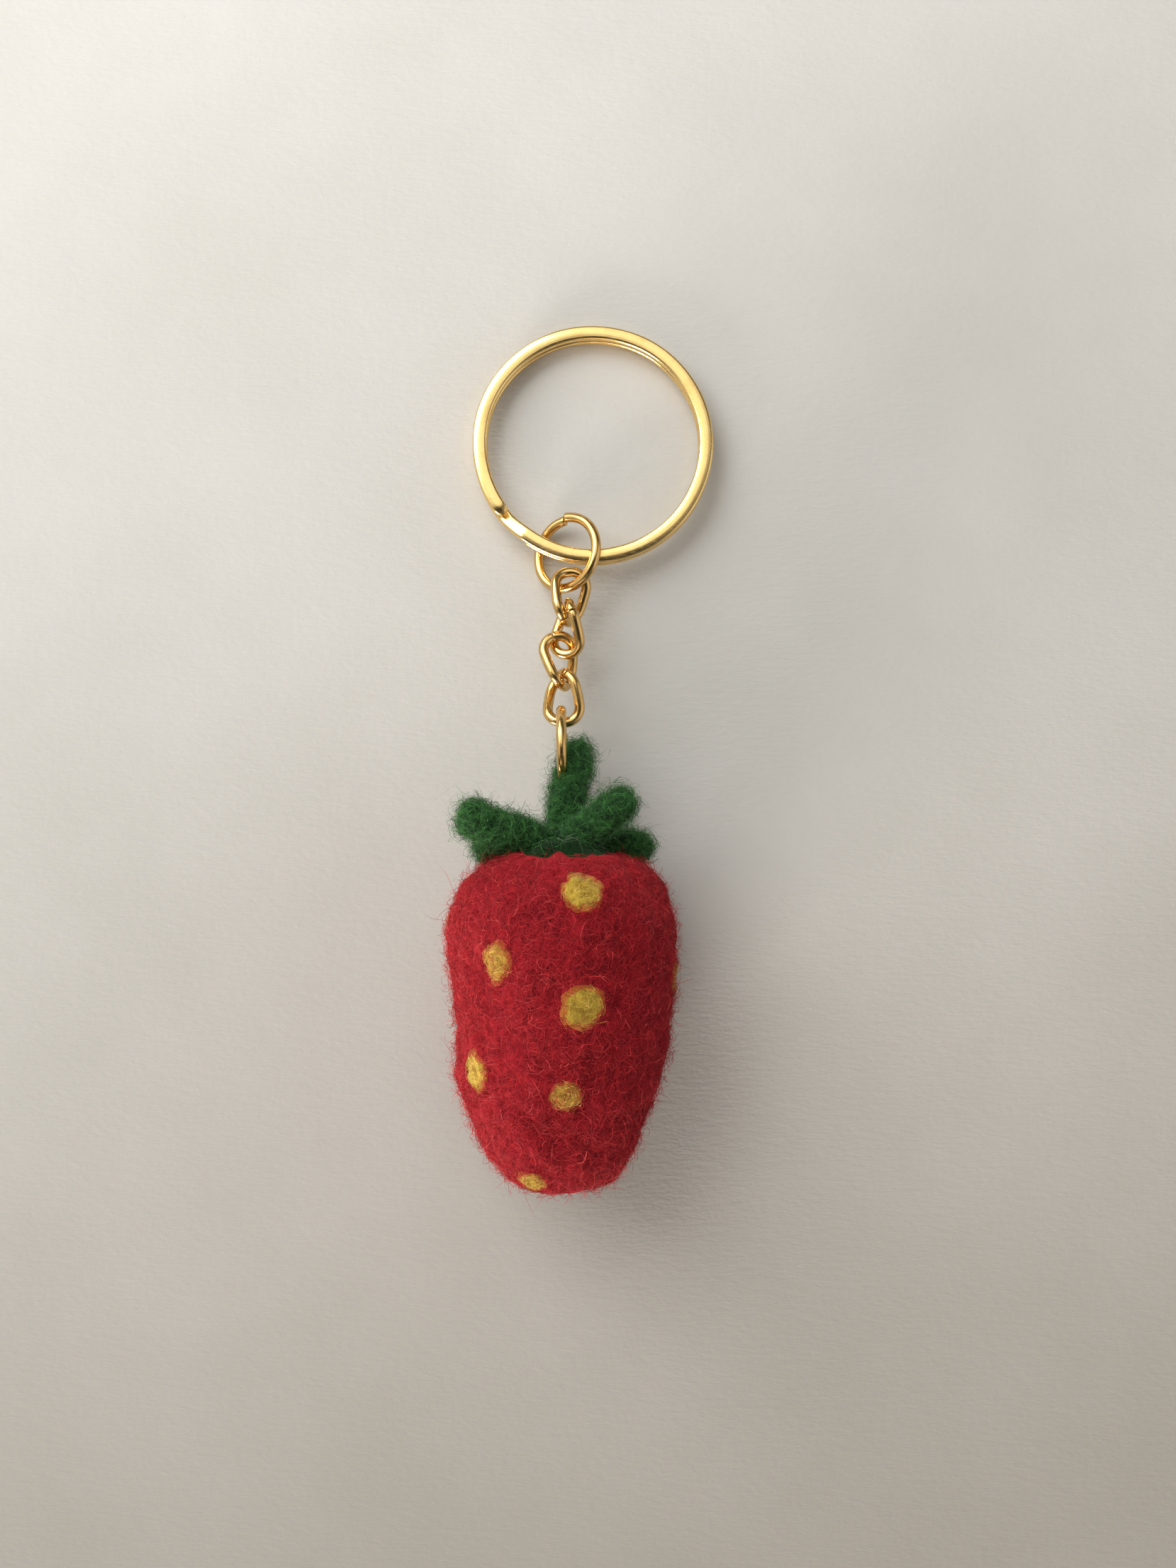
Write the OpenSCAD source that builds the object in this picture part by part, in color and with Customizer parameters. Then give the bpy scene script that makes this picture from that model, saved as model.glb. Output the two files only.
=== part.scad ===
// Needle-felted strawberry on a short chain with a split ring, lying flat.
// Millimetres. +Z is up from the table, +Y runs from the berry's tip to the split ring.
// The origin is under the middle of the whole piece, on the table.

/* [Split ring] */
// Outside diameter of the split ring
split_ring_od = 25; // [20:0.5:32]
// Width of the flat wire, measured across the ring
split_wire_w = 1.5; // [1:0.05:2.5]
// Thickness of one turn of the flat wire
split_wire_t = 0.90; // [0.6:0.02:1.4]
// Space between the two turns
split_turn_gap = 0.08; // [0.04:0.01:0.3]
// Direction in which the wire steps from one turn to the other
split_step_at = 226; // [0:1:359]
// Arc taken up by the step
split_step_arc = 17; // [10:1:30]
// Centre of the split ring
split_ring_at = [0.7, 31.45, 1.68];
// Lean of the split ring, its chain side resting on the jump ring
split_ring_lean = -2.9; // [-10:0.1:10]

/* [Jump rings] */
// Diameter of the jump ring wire
jump_wire_d = 1.0; // [0.8:0.05:1.4]
// Diameter of a jump ring along the middle of its wire
jump_ring_d = 7.4; // [5:0.1:9]
// Opening left at the ends of a jump ring, as an arc
jump_seam_arc = 3; // [1:0.5:12]
// Centre of the upper jump ring
upper_jump_at = [-1.97, 20.04, 2.77];
// Lean about X, about Y and turn about Z of the upper jump ring
upper_jump_turn = [-5.77, -36.42, -3.28];
// Where the upper jump ring's ends meet
upper_seam_at = 97; // [0:1:359]
// Centre of the lower jump ring
lower_jump_at = [-2.39, -0.08, 6.49];
// Turn of the upright lower jump ring about Z
lower_jump_turn = 1.4; // [-20:0.1:20]
// Where the lower jump ring's ends meet
lower_seam_at = 155; // [0:1:359]

/* [Chain] */
// Diameter of the link wire
link_wire_d = 1.05; // [0.7:0.01:1.2]
// Half the length of a link, along the middle of its wire
link_half_len = 2.62; // [2:0.01:4]
// Half the width of a link, along the middle of its wire
link_half_w = 1.68; // [1.2:0.02:2.5]
// Twist of a curb link, end to end
link_twist = 65; // [0:1:90]
// Centre of the link next to the upper jump ring
link_1_at = [-1.69, 15.41, 3.66];
// Roll about its length, lean and turn of that link
link_1_turn = [-34.15, -6.12, -6.48];
// Centre of the second link
link_2_at = [-1.92, 12.07, 4.16];
// Roll about its length, lean and turn of the second link
link_2_turn = [52.12, 0.98, -2.58];
// Centre of the third link
link_3_at = [-2.62, 8.74, 4.09];
// Roll about its length, lean and turn of the third link
link_3_turn = [-41.19, 1.79, 9.62];
// Centre of the link next to the lower jump ring
link_4_at = [-2.33, 4.91, 5.06];
// Roll about its length, lean and turn of that link
link_4_turn = [26.67, -15.89, 3.21];

/* [Berry] */
// Largest radius of the red felt body
berry_r = 10.9; // [8:0.1:14]
// Length of the red felt body, tip to shoulder
berry_len = 33.1; // [25:0.1:45]
// Distance from the tip to the widest place
berry_wide_at = 23.1; // [15:0.1:30]
// Where the berry's axis passes, across the piece
berry_x = -2.2; // [-5:0.1:5]
// Height of the berry's axis, a little less than its radius so the belly is flat
berry_z = 10.6; // [8:0.05:14]
// Tip of the berry
berry_tip_y = -43.1; // [-50:0.1:-30]
// Thickness of the dyed red layer over the core
skin_t = 2.4; // [1:0.1:4]
// Depth of the dimple that the green cap is needled into
dimple_depth = 0.7; // [0:0.1:2]

/* [Yellow dots] */
// Diameter of a felted yellow dot
dot_d = 3.5; // [2:0.1:5]
// Depth of a dot in the red felt
dot_depth = 0.9; // [0.4:0.1:1.5]
// How far a dot stands out of the felt
dot_proud = 0.3; // [0:0.05:0.8]
// Each dot: distance from the tip, angle around the axis from straight up, size factor
dots = [[29.4, 11, 1.03], [23.2, -33, 0.97], [19.4, 11, 1.1], [12.6, -54, 1], [11.1, 4, 0.86],
    [2.7, -20, 0.8], [20.9, 80, 0.95], [13.7, 118, 0.95], [25.5, -97, 0.95], [26.7, 150, 0.95],
    [16.7, -128, 1], [7.2, -160, 0.85]];

/* [Green cap] */
// Radius of the felted cap that the leaves grow from
cap_r = 4.2; // [3:0.1:6]
// Thickness of the cap
cap_t = 1.7; // [1:0.1:3]
// Foot of the stem lobe
stem_from = [-2.9, -9.3, 7.9];
// Tip of the stem lobe
stem_to = [-1.1, 0.45, 5.95];
// Radius of the stem lobe
stem_r = 2.15; // [1.5:0.05:3]
// Radius of the passage that the lower jump ring makes through the stem
stem_hole_r = 1.05; // [0.6:0.01:1.3]
// How far the passage is set in from the ring's lowest point, to clear the ring's curve
stem_hole_set = 0.45; // [0:0.01:0.8]
// Feet and tips of the four leaves
leaf_1_from = [-1.9, -8.8, 11.6];
leaf_1_to = [4.9, -4.6, 15.2];
leaf_2_from = [-3.9, -8.9, 11.2];
leaf_2_to = [-12.4, -6.3, 13.2];
leaf_3_from = [-3.9, -8.8, 9.2];
leaf_3_to = [-10.9, -10.2, 7.9];
leaf_4_from = [-0.6, -8.8, 9.4];
leaf_4_to = [6.9, -10.2, 8.4];
// Width of a leaf
leaf_w = 3.5; // [2:0.1:5]
// Thickness of a leaf
leaf_t = 2.5; // [1:0.1:4]

/* [Hidden] */
$fn = 72;
gold = [0.86, 0.66, 0.30];
red = [0.62, 0.09, 0.11];
yellow = [0.80, 0.66, 0.22];
green = [0.13, 0.36, 0.16];
undyed = [0.86, 0.82, 0.72];
sheet_gap = 0.05;
step_slim = 0.03;
step_lap = 0.25;
profile_steps = 28;
wire_sides = 12;
link_steps = 60;
lobe_sides = 16;
lobe_steps = 11;
split_r = split_ring_od / 2;
split_in_r = split_r - split_wire_w;
split_mid_r = split_r - split_wire_w / 2;
turn_z = (split_wire_t + split_turn_gap) / 2;
link_straight = link_half_len - link_half_w;
hole_y = lower_jump_at[1] - jump_ring_d / 2 + stem_hole_set;
hole_x = lower_jump_at[0] + sin(lower_jump_turn) * jump_ring_d / 2;

// ---- shared helpers ----

function unit(v) = v / norm(v);

// A closed or open tube through points p, with cross vectors u and v already scaled.
module tube(p, u, v, sides, closed) {
    n = len(p);
    pts = [for (i = [0:n - 1]) for (k = [0:sides - 1])
        p[i] + u[i] * cos(360 * k / sides) + v[i] * sin(360 * k / sides)];
    rows = closed ? n : n - 1;
    walls = [for (i = [0:rows - 1]) for (k = [0:sides - 1])
        let (a = i * sides + k, b = i * sides + (k + 1) % sides,
            j = (i + 1) % n, c = j * sides + (k + 1) % sides, d = j * sides + k)
        each [[a, d, c], [a, c, b]]];
    first = [for (k = [0:sides - 1]) k];
    last = [for (k = [sides - 1:-1:0]) (n - 1) * sides + k];
    polyhedron(points = pts, faces = closed ? walls : concat(walls, [first, last]));
}

// Half width of the berry, at a distance s from its tip.
function berry_half(s, r = berry_r, length = berry_len, wide = berry_wide_at) =
    s > wide ? r * pow(max(0, 1 - pow((s - wide) / (length - wide), 2.7)), 0.37)
             : r * pow(max(0, 1 - pow((wide - s) / wide, 1.5)), 1 / 3.6);

// Stations that crowd towards both ends, so the ends come out round.
function berry_station(i, length) = length * (1 - cos(180 * i / profile_steps)) / 2;

// Places a child drawn along +Z from the origin so that it runs along the berry's axis.
module on_berry_axis() {
    translate([berry_x, berry_tip_y, berry_z]) rotate([-90, 0, 0]) children();
}

module berry_form(inset) {
    length = berry_len - 2 * inset;
    translate([0, 0, inset]) rotate_extrude()
        polygon([for (i = [0:profile_steps])
            let (s = berry_station(i, length))
            [i == 0 || i == profile_steps ? 0
                : berry_half(s, berry_r - inset, length, berry_wide_at - inset), s]]);
}

// One leaf or lobe from a to b, flattened, round at its tip.
module lobe(a, b, w, t) {
    along = unit(b - a);
    side = unit(cross(along, [0, 0, 1]));
    up = cross(side, along);
    span = norm(b - a);
    function at(i) = (1 - pow(1 - i / lobe_steps, 1.6)) * 0.995;
    function size(s) = (0.72 + 0.28 * sin(90 * min(1, s / 0.5))) * sqrt(1 - pow(s, 8));
    function bow(s) = 0.08 * span * sin(180 * s);
    tube([for (i = [0:lobe_steps]) a + along * span * at(i) + up * bow(at(i))],
        [for (i = [0:lobe_steps]) side * w / 2 * size(at(i))],
        [for (i = [0:lobe_steps]) up * t / 2 * size(at(i))], lobe_sides, false);
}

// ---- metal ----

module split_turn(z) {
    translate([0, 0, z - split_wire_t / 2])
        rotate([0, 0, split_step_at + split_step_arc / 2])
            rotate_extrude(angle = 360 - split_step_arc)
                translate([split_in_r, 0]) square([split_wire_w, split_wire_t]);
}

// The slanted length of wire that joins the two turns, a little slimmer than they are.
module split_step() {
    half = split_mid_r * sin(split_step_arc / 2) + step_lap;
    t = split_wire_t / 2 - step_slim;
    intersection() {
        rotate([0, 0, split_step_at]) translate([split_in_r - 0.5, 0, 0])
            rotate([90, 0, 90]) linear_extrude(split_wire_w + 1)
                polygon([[-half, -turn_z - t], [half, turn_z - t],
                    [half, turn_z + t], [-half, -turn_z + t]]);
        difference() {
            cylinder(r = split_r - step_slim, h = 4 * split_wire_t, center = true);
            cylinder(r = split_in_r + step_slim, h = 5 * split_wire_t, center = true);
        }
    }
}

module split_ring() {
    color(gold) translate(split_ring_at) rotate([split_ring_lean, 0, 0]) {
        split_turn(-turn_z);
        split_turn(turn_z);
        split_step();
    }
}

module jump_ring(seam_at) {
    rotate([0, 0, seam_at + jump_seam_arc / 2]) rotate_extrude(angle = 360 - jump_seam_arc)
        translate([jump_ring_d / 2, 0]) circle(d = jump_wire_d, $fn = 32);
}

module jump_ring_upper() {
    color(gold) translate(upper_jump_at) rotate([0, 0, upper_jump_turn[2]])
        rotate([upper_jump_turn[0], 0, 0]) rotate([0, upper_jump_turn[1], 0])
            jump_ring(upper_seam_at);
}

module jump_ring_lower() {
    color(gold) translate(lower_jump_at) rotate([0, 0, lower_jump_turn]) rotate([0, -90, 0])
        jump_ring(lower_seam_at);
}

// A point on the middle line of a flat, stadium-shaped link; t runs from 0 to 1 around it.
function link_flat(t) =
    let (bend = PI * link_half_w, run = 2 * link_straight, s = t * 2 * (bend + run))
    s < bend ? [link_half_w * cos(s / link_half_w * 180 / PI),
        link_straight + link_half_w * sin(s / link_half_w * 180 / PI)]
    : s < bend + run ? [-link_half_w, link_straight - (s - bend)]
    : s < 2 * bend + run ? let (a = 180 + (s - bend - run) / link_half_w * 180 / PI)
        [link_half_w * cos(a), -link_straight + link_half_w * sin(a)]
    : [link_half_w, -link_straight + (s - 2 * bend - run)];

// The same point after the link is twisted about its length.
function link_point(t, roll) =
    let (q = link_flat(t - floor(t)), a = roll + link_twist * q[1] / (2 * link_half_len))
    [q[0] * cos(a), q[1], q[0] * sin(a)];

module chain_link(at, turn) {
    step = 1 / link_steps;
    mid = [for (i = [0:link_steps - 1]) link_point(i * step, turn[0])];
    run = [for (i = [0:link_steps - 1])
        unit(link_point((i + 1) * step, turn[0]) - link_point((i + link_steps - 1) * step, turn[0]))];
    out = [for (i = [0:link_steps - 1]) unit(mid[i] - run[i] * (mid[i] * run[i]))];
    color(gold) translate(at) rotate([0, 0, turn[2]]) rotate([turn[1], 0, 0])
        tube(mid, out * link_wire_d / 2,
            [for (i = [0:link_steps - 1]) cross(run[i], out[i]) * link_wire_d / 2],
            wire_sides, true);
}

module chain_link_1() { chain_link(link_1_at, link_1_turn); }
module chain_link_2() { chain_link(link_2_at, link_2_turn); }
module chain_link_3() { chain_link(link_3_at, link_3_turn); }
module chain_link_4() { chain_link(link_4_at, link_4_turn); }

// ---- felt ----

module berry_core() {
    color(undyed) on_berry_axis() berry_form(skin_t + sheet_gap);
}

// Everything below the table is cut away, which gives the berry its flat belly.
module above_table() {
    intersection() {
        children();
        translate([berry_x - 20, berry_tip_y - 5, 0]) cube([40, berry_len + 10, 40]);
    }
}

// Places a child drawn at the origin, facing +Z, on the felt at dot number i.
module at_dot(i) {
    s = dots[i][0];
    slope = atan2(berry_half(s + 0.2) - berry_half(s - 0.2), 0.4);
    on_berry_axis() rotate([0, 0, -90 + dots[i][1]]) translate([berry_half(s), 0, s])
        rotate([0, 90 + slope, 0]) children();
}

module dot_seat(i) {
    translate([0, 0, -dot_depth - sheet_gap])
        cylinder(r = dot_d * dots[i][2] / 2 + sheet_gap, h = dot_depth + 3);
}

module berry_skin() {
    color(red) difference() {
        above_table() on_berry_axis() berry_form(0);
        on_berry_axis() berry_form(skin_t);
        on_berry_axis() translate([0, 0, berry_len - dimple_depth])
            cylinder(r = cap_r + sheet_gap, h = 5);
        for (i = [0:len(dots) - 1]) at_dot(i) dot_seat(i);
    }
}

// A shallow plug of yellow wool with a low dome on its outer side.
module dot(i) {
    r = dot_d * dots[i][2] / 2;
    dome_r = (r * r + dot_proud * dot_proud) / (2 * dot_proud);
    color(yellow) at_dot(i) {
        translate([0, 0, -dot_depth]) cylinder(r = r, h = dot_depth);
        intersection() {
            translate([0, 0, dot_proud - dome_r]) sphere(r = dome_r);
            translate([0, 0, -dot_depth / 2]) cylinder(r = r, h = dot_depth + 1);
        }
    }
}

module calyx_cap() {
    color(green) on_berry_axis()
        translate([0, 0, berry_len - dimple_depth + sheet_gap]) rotate_extrude()
            polygon(concat([[0, 0]], [for (i = [0:10])
                [cap_r * cos(9 * i), cap_t * (0.3 + 0.7 * sin(9 * i)) * (i > 0 ? 1 : 0.9)]],
                []));
}

module stem() {
    along = stem_to - stem_from;
    lean = atan2(norm([along[0], along[1]]), along[2]);
    heading = atan2(along[1], along[0]);
    shaft = norm(along) - stem_r;
    color(green) difference() {
        translate(stem_from) rotate([0, 0, heading]) rotate([0, lean, 0]) {
            cylinder(r = stem_r, h = shaft);
            translate([0, 0, shaft]) sphere(r = stem_r);
        }
        translate([hole_x, hole_y, 0]) cylinder(r = stem_hole_r, h = 20);
    }
}

module leaf_1() { color(green) lobe(leaf_1_from, leaf_1_to, leaf_w, leaf_t); }
module leaf_2() { color(green) lobe(leaf_2_from, leaf_2_to, leaf_w, leaf_t); }
module leaf_3() { color(green) lobe(leaf_3_from, leaf_3_to, leaf_w, leaf_t * 0.9); }
module leaf_4() { color(green) lobe(leaf_4_from, leaf_4_to, leaf_w, leaf_t * 0.9); }

split_ring();
jump_ring_upper();
chain_link_1();
chain_link_2();
chain_link_3();
chain_link_4();
jump_ring_lower();
berry_core();
berry_skin();
calyx_cap();
stem();
leaf_1();
leaf_2();
leaf_3();
leaf_4();
dot(0);  // dot_01
dot(1);  // dot_02
dot(2);  // dot_03
dot(3);  // dot_04
dot(4);  // dot_05
dot(5);  // dot_06
dot(6);  // dot_07
dot(7);  // dot_08
dot(8);  // dot_09
dot(9);  // dot_10
dot(10);  // dot_11
dot(11);  // dot_12
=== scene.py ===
# Needle-felted strawberry keychain: the looks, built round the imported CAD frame.
# The pieces and the camera are laid out in millimetres, which MM turns into metres. The floor and
# the lights are in metres, and noise scales are per metre. Named angles are in degrees.
# +Y runs from the berry's tip to the split ring, and +Z up from the paper.
import math

import bpy
import numpy as np
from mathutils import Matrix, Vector


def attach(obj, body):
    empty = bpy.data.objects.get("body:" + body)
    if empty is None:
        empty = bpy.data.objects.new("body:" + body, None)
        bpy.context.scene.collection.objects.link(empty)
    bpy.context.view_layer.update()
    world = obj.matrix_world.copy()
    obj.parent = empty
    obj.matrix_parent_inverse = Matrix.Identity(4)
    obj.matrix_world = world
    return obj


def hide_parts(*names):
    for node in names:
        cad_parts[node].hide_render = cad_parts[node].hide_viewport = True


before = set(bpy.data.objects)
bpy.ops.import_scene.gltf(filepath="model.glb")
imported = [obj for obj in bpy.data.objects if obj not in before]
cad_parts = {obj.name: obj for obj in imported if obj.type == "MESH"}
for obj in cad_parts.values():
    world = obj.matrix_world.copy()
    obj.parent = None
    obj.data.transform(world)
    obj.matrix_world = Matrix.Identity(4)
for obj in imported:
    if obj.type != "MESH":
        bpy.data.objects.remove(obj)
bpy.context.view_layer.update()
MM = 0.001
TAU = 2 * math.pi


# ------------------------------------------------------------------ numbers
def waves(seed, count, wavelength):
    """A smooth random field made of sine waves, about -1 to 1, the same on every run."""
    r = np.random.default_rng(seed)
    d = r.normal(size=(count, 3))
    d /= np.linalg.norm(d, axis=1, keepdims=True)
    k = d * (TAU / (wavelength * r.uniform(0.65, 1.5, (count, 1))))
    phase = r.uniform(0, TAU, count)

    def field(p):
        return np.sin(p @ k.T + phase).sum(-1) * math.sqrt(2 / count) * 0.7

    return field


def rot_x(degrees):
    c, s = math.cos(math.radians(degrees)), math.sin(math.radians(degrees))
    return np.array([[1, 0, 0], [0, c, -s], [0, s, c]])


def rot_y(degrees):
    c, s = math.cos(math.radians(degrees)), math.sin(math.radians(degrees))
    return np.array([[c, 0, s], [0, 1, 0], [-s, 0, c]])


def rot_z(degrees):
    c, s = math.cos(math.radians(degrees)), math.sin(math.radians(degrees))
    return np.array([[c, -s, 0], [s, c, 0], [0, 0, 1]])


def unit(v):
    return v / np.maximum(np.linalg.norm(v, axis=-1, keepdims=True), 1e-12)


def smooth(x):
    x = np.clip(x, 0, 1)
    return x * x * (3 - 2 * x)


def round_steps(count):
    """Angles of evenly spaced points on a circle."""
    return np.arange(count) * TAU / count


# ------------------------------------------------------------------ meshes
def add_object(name, data):
    ob = bpy.data.objects.new(name, data)
    bpy.context.scene.collection.objects.link(ob)
    return ob


def make(name, points, faces, body, material):
    me = bpy.data.meshes.new(name)
    me.from_pydata((np.asarray(points) * MM).tolist(), [], faces)
    me.validate()
    me.shade_smooth()
    me.materials.append(material)
    ob = add_object(name, me)
    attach(ob, body)
    return ob


def tube_faces(rows, cols, flip=False, far_end=True):
    """Quads between neighbouring rows of points, then a fan over the first row and over the last.
    The middle points of the fans come after all the rows."""
    last, middle = (rows - 1) * cols, rows * cols
    quads, fans = [], []
    for i in range(0, last, cols):
        for k in range(cols):
            m = (k + 1) % cols
            quads.append([i + k, i + m, i + cols + m, i + cols + k])
    for k in range(cols):
        m = (k + 1) % cols
        fans.append([middle, m, k])
        if far_end:
            fans.append([middle + 1, last + k, last + m])
    if flip:
        quads = [q[::-1] for q in quads]
        fans = [[top, b, a] for top, a, b in fans]
    return quads + fans


def tube_points(rows, first=None, last=None):
    """All points of the rows, then the fans' middles: given points or the end rows' own means."""
    first = rows[0].mean(0) if first is None else first
    last = rows[-1].mean(0) if last is None else last
    return np.concatenate([rows.reshape(-1, 3), [first], [last]])


def sweep(path, section, up=None, size=None):
    """Carries a closed section (M, 2) along a path (N, 3). Returns the points (N, M, 3).
    up is the way the section's first axis points: away from the path's middle if not given."""
    t = unit(np.gradient(path, axis=0))
    up = path - path.mean(0) if up is None else up
    u = unit(up - t * (up * t).sum(1, keepdims=True))
    v = np.cross(t, u)
    size = np.ones((len(path), 2)) if size is None else size
    return (path[:, None] + u[:, None] * section[None, :, :1] * size[:, None, :1]
            + v[:, None] * section[None, :, 1:] * size[:, None, 1:])


# the worn end of a wire, from its face inwards: (size of the section, share of the bevel)
WORN_END = ((0.35, 1.05), (0.72, 1.0), (0.93, 0.72))
FACE_BULGE = 1.08


def open_wire(name, path, section, body, material, bevel, up=None, size=None):
    """A wire with two cut ends, each with a small worn bevel and a slightly domed face."""
    p = sweep(path, section, up, size)
    t0, t1 = unit(path[0] - path[1]), unit(path[-1] - path[-2])
    head = [(path[0] + (p[0] - path[0]) * f + t0 * (bevel * d))[None] for f, d in WORN_END]
    tail = [(path[-1] + (p[-1] - path[-1]) * f + t1 * (bevel * d))[None] for f, d in WORN_END[::-1]]
    p = np.concatenate(head + [p] + tail)
    points = tube_points(p, path[0] + t0 * bevel * FACE_BULGE, path[-1] + t1 * bevel * FACE_BULGE)
    return make(name, points, tube_faces(*p.shape[:2]), body, material)


def round_section(r, n=24):
    a = round_steps(n)
    return np.stack([r * np.cos(a), r * np.sin(a)], 1)


def flat_section(width, thick, corner, steps=6, crown=0.05):
    """A rolled flat wire: nearly flat faces, rounded edges, a shallow crown on the faces."""
    flat_x, flat_y = width / 2 - corner, thick / 2 - corner
    points = []
    for cx, cy, a0 in ((1, 1, 0), (-1, 1, 90), (-1, -1, 180), (1, -1, 270)):
        for i in range(steps + 1):
            a = math.radians(a0 + 90 * i / steps)
            points.append([cx * flat_x + corner * math.cos(a), cy * flat_y + corner * math.sin(a)])
        # a face follows the first and the third corner
        if cx == cy:
            for f in (0.66, 0.33, 0.0, -0.33, -0.66):
                points.append([cx * f * flat_x, cx * (thick / 2 + crown * (1 - f * f))])
    return np.array(points)


# ------------------------------------------------------------------ material nodes
def new_material(name):
    """A node material, with the object coordinates that its textures use."""
    m = bpy.data.materials.new(name)
    m.use_nodes = True
    nt = m.node_tree
    coord = nt.nodes.new("ShaderNodeTexCoord").outputs["Object"]
    return m, nt, nt.nodes["Principled BSDF"], coord


def settings(n, **values):
    """Sets a node's inputs by their names, with _ for each space."""
    for k, v in values.items():
        n.inputs[k.replace("_", " ")].default_value = v


def noise(nt, coord, scale, detail, roughness=0.5):
    n = nt.nodes.new("ShaderNodeTexNoise")
    settings(n, Scale=scale, Detail=detail, Roughness=roughness)
    nt.links.new(coord, n.inputs["Vector"])
    return n


def streaks(nt, coord, rotation, scale, detail, roughness):
    """Noise that is stretched along one turned axis: a different scale for each."""
    mp = nt.nodes.new("ShaderNodeMapping")
    settings(mp, Rotation=rotation, Scale=scale)
    nt.links.new(coord, mp.inputs["Vector"])
    return noise(nt, mp.outputs["Vector"], 1.0, detail, roughness).outputs["Fac"]


def ramp(nt, src, stops):
    """Stops are (place, grey) or (place, (r, g, b))."""
    n = nt.nodes.new("ShaderNodeValToRGB")
    e = n.color_ramp.elements
    while len(e) < len(stops):
        e.new(0.5)
    for el, (place, colour) in zip(e, stops):
        el.position = place
        el.color = (*colour, 1) if isinstance(colour, tuple) else (colour, colour, colour, 1)
    nt.links.new(src, n.inputs["Fac"])
    return n.outputs["Color"]


def plug(nt, socket, value):
    """Links a socket to another, or sets it to a number or an RGB colour."""
    if isinstance(value, bpy.types.NodeSocket):
        nt.links.new(value, socket)
    else:
        socket.default_value = value if isinstance(value, (int, float)) else (*value, 1)


def mix(nt, factor, a, b, kind="MIX"):
    n = nt.nodes.new("ShaderNodeMix")
    n.data_type = "RGBA"
    n.blend_type = kind
    share = [s for s in n.inputs if s.name == "Factor" and s.type == "VALUE"][0]
    colours = [s for s in n.inputs if s.type == "RGBA"]
    for socket, value in ((share, factor), (colours[0], a), (colours[1], b)):
        plug(nt, socket, value)
    return [s for s in n.outputs if s.type == "RGBA"][0]


def maths(nt, op, a, b):
    n = nt.nodes.new("ShaderNodeMath")
    n.operation = op
    plug(nt, n.inputs[0], a)
    plug(nt, n.inputs[1], b)
    return n.outputs[0]


def bump(nt, bsdf, height, strength, distance):
    b = nt.nodes.new("ShaderNodeBump")
    settings(b, Strength=strength, Distance=distance)
    nt.links.new(height, b.inputs["Height"])
    nt.links.new(b.outputs["Normal"], bsdf.inputs["Normal"])


# how far the warp noise moves a strand, in metres
STRAND_SWAY = 0.0011


def strand_mask(nt, coord, seed):
    """Thin tangled lines in three directions, like fibres seen close up."""
    warp = noise(nt, coord, 900.0, 2.0)
    bend = nt.nodes.new("ShaderNodeVectorMath")
    bend.operation = "MULTIPLY_ADD"
    nt.links.new(warp.outputs["Color"], bend.inputs[0])
    bend.inputs[1].default_value = (STRAND_SWAY, STRAND_SWAY, STRAND_SWAY)
    nt.links.new(coord, bend.inputs[2])
    total = None
    for rotation, scale in (((0.3, 0.5, 0.2), (700, 6000, 6000)),
                            ((1.2, 0.1, 1.3), (6200, 800, 5200)),
                            ((0.7, 1.1, 2.3), (5600, 6600, 750))):
        turned = tuple(r + seed for r in rotation)
        line = streaks(nt, bend.outputs[0], turned, scale, 1.5, 0.6)
        line = ramp(nt, line, [(0.50, 0), (0.60, 1), (0.66, 0.15)])
        total = line if total is None else maths(nt, "MAXIMUM", total, line)
    return total


# ------------------------------------------------------------------ materials
def felt_material(name, dark, mid, light, seed, sheen_tint, sheen=0.35, rim=None):
    """Needled wool: patches of about 3 mm, grain of about 0.4 mm and tangled strands, with painted shade
    darkening the felt where the grain's bump is low. With rim, the colour turns towards it where the
    mesh's "edge" is high."""
    m, nt, bsdf, coord = new_material(name)
    patch = noise(nt, coord, 330.0 + 20 * seed, 3.0, 0.6).outputs["Fac"]
    grain = noise(nt, coord, 2300.0, 3.0, 0.7).outputs["Fac"]
    strands = strand_mask(nt, coord, seed * 0.37)
    # hollow is painted shade: the felt is made darker where the grain's bump is low
    hollow = tuple(c * 0.45 for c in dark)
    base = mix(nt, ramp(nt, patch, [(0.32, 0), (0.68, 1)]), dark, mid)
    base = mix(nt, ramp(nt, grain, [(0.38, 0.55), (0.62, 0)]), base, hollow)
    base = mix(nt, maths(nt, "MULTIPLY", strands, 0.42), base, light)
    if rim:
        edge = nt.nodes.new("ShaderNodeAttribute")
        edge.attribute_name = "edge"
        ragged = maths(nt, "ADD", edge.outputs["Fac"], maths(nt, "MULTIPLY", grain, 0.5))
        base = mix(nt, ramp(nt, ragged, [(0.96, 0), (1.0, 0.9)]), base, rim)
    nt.links.new(base, bsdf.inputs["Base Color"])
    height = maths(nt, "ADD", maths(nt, "MULTIPLY", strands, 0.6), maths(nt, "MULTIPLY", grain, 0.9))
    height = maths(nt, "ADD", height, maths(nt, "MULTIPLY", patch, 0.5))
    bump(nt, bsdf, height, 0.5, 0.00018)
    settings(bsdf, Roughness=0.95, Specular_IOR_Level=0.12, Sheen_Weight=sheen,
             Sheen_Roughness=0.45, Sheen_Tint=(*sheen_tint, 1))
    return m


def fibre_material(name, low, high, tint):
    """Loose wool fibres: the colour drifts from tuft to tuft."""
    m, nt, bsdf, coord = new_material(name)
    tuft = noise(nt, coord, 1400.0, 2.0).outputs["Fac"]
    colour = mix(nt, ramp(nt, tuft, [(0.35, 0), (0.65, 1)]), low, high)
    nt.links.new(colour, bsdf.inputs["Base Color"])
    settings(bsdf, Roughness=0.7, Specular_IOR_Level=0.25, Sheen_Weight=0.3, Sheen_Tint=(*tint, 1))
    return m


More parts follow.
